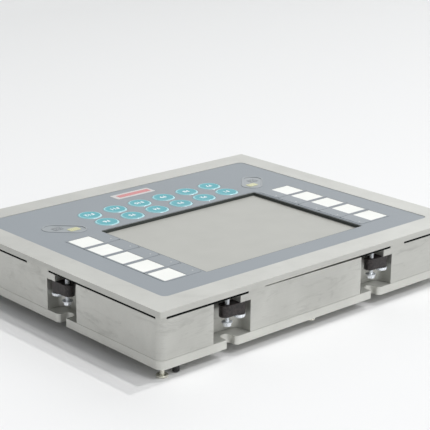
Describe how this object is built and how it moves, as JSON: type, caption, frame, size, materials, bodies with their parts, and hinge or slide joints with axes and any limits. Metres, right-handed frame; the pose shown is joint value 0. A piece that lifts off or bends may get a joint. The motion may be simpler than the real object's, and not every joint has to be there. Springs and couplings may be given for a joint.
{
  "type": "hmi touch panel",
  "caption": "Flat operator touch panel: thick aluminium bezel, recessed screen, insert-label side keys, round function keys, and a milled housing with swing-out clamps.",
  "frame": {"origin": "on the floor plane of the four foot screws, below the middle of the bezel", "axes": "+Z the way the display faces, +X the reader's right, +Y the reader's top; the panel lies on its back as stored"},
  "size_m": [0.4826, 0.395, 0.078],
  "materials": {
    "plate_aluminium": "fine brushed, clear anodised",
    "frame_aluminium": "milled, slightly smudged",
    "laminate": "matte front foil",
    "side_key": "matte embossed foil",
    "label_card": "plain white card",
    "function_key": "satin embossed foil",
    "indicator": "satin",
    "name_plate": "satin, plain red bar",
    "seal_rubber": "matte black",
    "display_glass": "anti-glare",
    "display_metal": "sheet steel",
    "circuit_board": "solder mask",
    "lever_black": "black coated cast metal",
    "zinc_steel": "bright zinc plated",
    "socket_plastic": "black moulding"
  },
  "bodies": {
    "panel": {"front_plate": "plate_aluminium", "front_laminate": "laminate", "display_seal": "seal_rubber", "touch_glass": "display_glass", "lcd_module": "display_metal", "keypad_board": "circuit_board", "label_strip_left": "label_card", "label_strip_right": "label_card", "indicator_left": "indicator", "indicator_right": "indicator", "name_plate": "name_plate", "housing_frame": "frame_aluminium", "front_gasket": "seal_rubber", "rear_plate": "frame_aluminium", "pivot_screw_top_right": "zinc_steel", "pivot_screw_top_left": "zinc_steel", "pivot_screw_bottom_right": "zinc_steel", "pivot_screw_bottom_left": "zinc_steel", "pivot_screw_right": "zinc_steel", "pivot_screw_left": "zinc_steel", "foot_screw_top_left": "zinc_steel", "foot_screw_bottom_left": "zinc_steel", "foot_screw_top_right": "zinc_steel", "foot_screw_bottom_right": "zinc_steel", "rear_screw_top": "zinc_steel", "power_socket": "socket_plastic"},
    "function_key_01": {"function_key_01": "function_key"},
    "function_key_02": {"function_key_02": "function_key"},
    "function_key_03": {"function_key_03": "function_key"},
    "function_key_04": {"function_key_04": "function_key"},
    "function_key_05": {"function_key_05": "function_key"},
    "function_key_06": {"function_key_06": "function_key"},
    "function_key_07": {"function_key_07": "function_key"},
    "function_key_08": {"function_key_08": "function_key"},
    "function_key_09": {"function_key_09": "function_key"},
    "function_key_10": {"function_key_10": "function_key"},
    "function_key_11": {"function_key_11": "function_key"},
    "function_key_12": {"function_key_12": "function_key"},
    "side_key_left_1": {"side_key_left_1": "side_key"},
    "side_key_left_2": {"side_key_left_2": "side_key"},
    "side_key_left_3": {"side_key_left_3": "side_key"},
    "side_key_left_4": {"side_key_left_4": "side_key"},
    "side_key_left_5": {"side_key_left_5": "side_key"},
    "side_key_right_1": {"side_key_right_1": "side_key"},
    "side_key_right_2": {"side_key_right_2": "side_key"},
    "side_key_right_3": {"side_key_right_3": "side_key"},
    "side_key_right_4": {"side_key_right_4": "side_key"},
    "side_key_right_5": {"side_key_right_5": "side_key"},
    "clamp_lever_top_right": {"clamp_lever_top_right": "lever_black"},
    "clamp_screw_top_right": {"clamp_screw_top_right": "zinc_steel"},
    "clamp_lever_top_left": {"clamp_lever_top_left": "lever_black"},
    "clamp_screw_top_left": {"clamp_screw_top_left": "zinc_steel"},
    "clamp_lever_bottom_right": {"clamp_lever_bottom_right": "lever_black"},
    "clamp_screw_bottom_right": {"clamp_screw_bottom_right": "zinc_steel"},
    "clamp_lever_bottom_left": {"clamp_lever_bottom_left": "lever_black"},
    "clamp_screw_bottom_left": {"clamp_screw_bottom_left": "zinc_steel"},
    "clamp_lever_right": {"clamp_lever_right": "lever_black"},
    "clamp_screw_right": {"clamp_screw_right": "zinc_steel"},
    "clamp_lever_left": {"clamp_lever_left": "lever_black"},
    "clamp_screw_left": {"clamp_screw_left": "zinc_steel"}
  },
  "joints": [
    {"name": "function_key_01_press", "type": "slide", "parent": "panel", "child": "function_key_01", "axis": [0, 0, 1], "range_m": [-0.0006, 0], "stiffness_N_per_m": 3000, "springref_m": 0.0003},
    {"name": "function_key_02_press", "type": "slide", "parent": "panel", "child": "function_key_02", "axis": [0, 0, 1], "range_m": [-0.0006, 0], "stiffness_N_per_m": 3000, "springref_m": 0.0003},
    {"name": "function_key_03_press", "type": "slide", "parent": "panel", "child": "function_key_03", "axis": [0, 0, 1], "range_m": [-0.0006, 0], "stiffness_N_per_m": 3000, "springref_m": 0.0003},
    {"name": "function_key_04_press", "type": "slide", "parent": "panel", "child": "function_key_04", "axis": [0, 0, 1], "range_m": [-0.0006, 0], "stiffness_N_per_m": 3000, "springref_m": 0.0003},
    {"name": "function_key_05_press", "type": "slide", "parent": "panel", "child": "function_key_05", "axis": [0, 0, 1], "range_m": [-0.0006, 0], "stiffness_N_per_m": 3000, "springref_m": 0.0003},
    {"name": "function_key_06_press", "type": "slide", "parent": "panel", "child": "function_key_06", "axis": [0, 0, 1], "range_m": [-0.0006, 0], "stiffness_N_per_m": 3000, "springref_m": 0.0003},
    {"name": "function_key_07_press", "type": "slide", "parent": "panel", "child": "function_key_07", "axis": [0, 0, 1], "range_m": [-0.0006, 0], "stiffness_N_per_m": 3000, "springref_m": 0.0003},
    {"name": "function_key_08_press", "type": "slide", "parent": "panel", "child": "function_key_08", "axis": [0, 0, 1], "range_m": [-0.0006, 0], "stiffness_N_per_m": 3000, "springref_m": 0.0003},
    {"name": "function_key_09_press", "type": "slide", "parent": "panel", "child": "function_key_09", "axis": [0, 0, 1], "range_m": [-0.0006, 0], "stiffness_N_per_m": 3000, "springref_m": 0.0003},
    {"name": "function_key_10_press", "type": "slide", "parent": "panel", "child": "function_key_10", "axis": [0, 0, 1], "range_m": [-0.0006, 0], "stiffness_N_per_m": 3000, "springref_m": 0.0003},
    {"name": "function_key_11_press", "type": "slide", "parent": "panel", "child": "function_key_11", "axis": [0, 0, 1], "range_m": [-0.0006, 0], "stiffness_N_per_m": 3000, "springref_m": 0.0003},
    {"name": "function_key_12_press", "type": "slide", "parent": "panel", "child": "function_key_12", "axis": [0, 0, 1], "range_m": [-0.0006, 0], "stiffness_N_per_m": 3000, "springref_m": 0.0003},
    {"name": "side_key_left_1_press", "type": "slide", "parent": "panel", "child": "side_key_left_1", "axis": [0, 0, 1], "range_m": [-0.0006, 0], "stiffness_N_per_m": 3000, "springref_m": 0.0003},
    {"name": "side_key_left_2_press", "type": "slide", "parent": "panel", "child": "side_key_left_2", "axis": [0, 0, 1], "range_m": [-0.0006, 0], "stiffness_N_per_m": 3000, "springref_m": 0.0003},
    {"name": "side_key_left_3_press", "type": "slide", "parent": "panel", "child": "side_key_left_3", "axis": [0, 0, 1], "range_m": [-0.0006, 0], "stiffness_N_per_m": 3000, "springref_m": 0.0003},
    {"name": "side_key_left_4_press", "type": "slide", "parent": "panel", "child": "side_key_left_4", "axis": [0, 0, 1], "range_m": [-0.0006, 0], "stiffness_N_per_m": 3000, "springref_m": 0.0003},
    {"name": "side_key_left_5_press", "type": "slide", "parent": "panel", "child": "side_key_left_5", "axis": [0, 0, 1], "range_m": [-0.0006, 0], "stiffness_N_per_m": 3000, "springref_m": 0.0003},
    {"name": "side_key_right_1_press", "type": "slide", "parent": "panel", "child": "side_key_right_1", "axis": [0, 0, 1], "range_m": [-0.0006, 0], "stiffness_N_per_m": 3000, "springref_m": 0.0003},
    {"name": "side_key_right_2_press", "type": "slide", "parent": "panel", "child": "side_key_right_2", "axis": [0, 0, 1], "range_m": [-0.0006, 0], "stiffness_N_per_m": 3000, "springref_m": 0.0003},
    {"name": "side_key_right_3_press", "type": "slide", "parent": "panel", "child": "side_key_right_3", "axis": [0, 0, 1], "range_m": [-0.0006, 0], "stiffness_N_per_m": 3000, "springref_m": 0.0003},
    {"name": "side_key_right_4_press", "type": "slide", "parent": "panel", "child": "side_key_right_4", "axis": [0, 0, 1], "range_m": [-0.0006, 0], "stiffness_N_per_m": 3000, "springref_m": 0.0003},
    {"name": "side_key_right_5_press", "type": "slide", "parent": "panel", "child": "side_key_right_5", "axis": [0, 0, 1], "range_m": [-0.0006, 0], "stiffness_N_per_m": 3000, "springref_m": 0.0003},
    {"name": "clamp_swing_top_right", "type": "hinge", "parent": "panel", "child": "clamp_lever_top_right", "pos_m": [0.124, 0.188, 0.0524], "axis": [0, 0, 1], "range_deg": [0, 90]},
    {"name": "clamp_screw_travel_top_right", "type": "slide", "parent": "clamp_lever_top_right", "child": "clamp_screw_top_right", "axis": [0, 0, 1], "range_m": [-0.01, 0]},
    {"name": "clamp_swing_top_left", "type": "hinge", "parent": "panel", "child": "clamp_lever_top_left", "pos_m": [-0.1028, 0.188, 0.0524], "axis": [0, 0, 1], "range_deg": [0, 90]},
    {"name": "clamp_screw_travel_top_left", "type": "slide", "parent": "clamp_lever_top_left", "child": "clamp_screw_top_left", "axis": [0, 0, 1], "range_m": [-0.01, 0]},
    {"name": "clamp_swing_bottom_right", "type": "hinge", "parent": "panel", "child": "clamp_lever_bottom_right", "pos_m": [0.124, -0.188, 0.0524], "axis": [0, 0, -1], "range_deg": [0, 90]},
    {"name": "clamp_screw_travel_bottom_right", "type": "slide", "parent": "clamp_lever_bottom_right", "child": "clamp_screw_bottom_right", "axis": [0, 0, 1], "range_m": [-0.01, 0]},
    {"name": "clamp_swing_bottom_left", "type": "hinge", "parent": "panel", "child": "clamp_lever_bottom_left", "pos_m": [-0.1028, -0.188, 0.0524], "axis": [0, 0, -1], "range_deg": [0, 90]},
    {"name": "clamp_screw_travel_bottom_left", "type": "slide", "parent": "clamp_lever_bottom_left", "child": "clamp_screw_bottom_left", "axis": [0, 0, 1], "range_m": [-0.01, 0]},
    {"name": "clamp_swing_right", "type": "hinge", "parent": "panel", "child": "clamp_lever_right", "pos_m": [0.2318, 0.0113, 0.0524], "axis": [0, 0, -1], "range_deg": [0, 90]},
    {"name": "clamp_screw_travel_right", "type": "slide", "parent": "clamp_lever_right", "child": "clamp_screw_right", "axis": [0, 0, 1], "range_m": [-0.01, 0]},
    {"name": "clamp_swing_left", "type": "hinge", "parent": "panel", "child": "clamp_lever_left", "pos_m": [-0.2318, 0.0113, 0.0524], "axis": [0, 0, 1], "range_deg": [0, 90]},
    {"name": "clamp_screw_travel_left", "type": "slide", "parent": "clamp_lever_left", "child": "clamp_screw_left", "axis": [0, 0, 1], "range_m": [-0.01, 0]}
  ]
}
